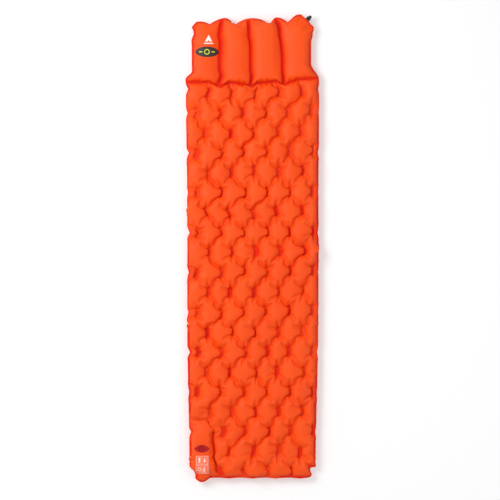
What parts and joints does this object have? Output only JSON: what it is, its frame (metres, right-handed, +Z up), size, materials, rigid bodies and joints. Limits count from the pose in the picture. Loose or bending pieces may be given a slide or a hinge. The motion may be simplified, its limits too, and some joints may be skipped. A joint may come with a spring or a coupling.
{
  "type": "inflatable sleeping pad",
  "caption": "Air-filled camping mat with a tubed head pillow, a screw valve at a cut corner and a foam foot pump with flap valves.",
  "frame": {"origin": "centre of the footprint, on the plane that the pad rests on", "axes": "+X across the pad to the sleeper's right when on their back, +Y from the foot to the pillow, +Z up"},
  "size_m": [0.542, 1.9, 0.0652],
  "materials": {
    "shell_fabric": "coated ripstop nylon, satin",
    "pump_fabric": "coated nylon, smooth",
    "foam": "open-cell polyurethane foam",
    "valve_body": "moulded TPU, matt",
    "valve_cap": "moulded plastic, satin gloss",
    "seal": "silicone rubber",
    "pump_ring": "moulded TPU, satin",
    "flap": "silicone rubber, translucent red",
    "print_light": "screen print, matt",
    "print_dark": "screen print, matt",
    "print_yellow": "screen print, matt"
  },
  "bodies": {
    "pad": {"body_top_sheet": "shell_fabric", "body_bottom_sheet": "shell_fabric", "pump_partition": "pump_fabric", "pump_foam": "foam", "pump_outlet_ring": "pump_ring"},
    "pillow": {"pillow_top_sheet": "shell_fabric", "pillow_bottom_sheet": "shell_fabric", "pillow_badge": "print_dark", "pillow_badge_mark": "print_yellow", "pillow_emblem": "print_light", "valve_boat": "valve_body", "valve_barrel": "valve_body", "valve_plug_seal": "seal"},
    "valve_seal": {"valve_o_ring": "seal"},
    "valve_cap": {"valve_cap": "valve_cap"},
    "pump_cover": {"pump_cover": "pump_fabric", "pump_inlet_ring": "pump_ring", "pump_label": "print_light"},
    "inlet_flap": {"pump_inlet_flap": "flap"},
    "outlet_flap": {"pump_outlet_flap": "flap"}
  },
  "joints": [
    {"name": "pillow_fold", "type": "hinge", "parent": "pad", "child": "pillow", "pos_m": [0, 0.675, 0.032], "axis": [1, 0, 0], "range_deg": [0, 45]},
    {"name": "cap_lift", "type": "slide", "parent": "pillow", "child": "valve_seal", "axis": [0.7071, 0.7071, 0], "range_m": [0, 0.004]},
    {"name": "cap_twist", "type": "hinge", "parent": "valve_seal", "child": "valve_cap", "pos_m": [0.22, 0.927, 0.032], "axis": [0.7071, 0.7071, 0], "range_deg": [0, 360]},
    {"name": "pump_press", "type": "slide", "parent": "pad", "child": "pump_cover", "axis": [0, 0, -1], "range_m": [0, 0.024], "stiffness_N_per_m": 400, "deforming": ["pump_foam"]},
    {"name": "inlet_flap_swing", "type": "hinge", "parent": "pump_cover", "child": "inlet_flap", "pos_m": [-0.205, -0.831, 0.0595], "axis": [-1, 0, 0], "range_deg": [0, 40]},
    {"name": "outlet_flap_swing", "type": "hinge", "parent": "pad", "child": "outlet_flap", "pos_m": [-0.205, -0.6945, 0.0285], "axis": [1, 0, 0], "range_deg": [0, 55]}
  ],
  "couplings": [
    {"joint": "cap_lift", "follows": "cap_twist", "m_per_rad": 0.00063662}
  ]
}
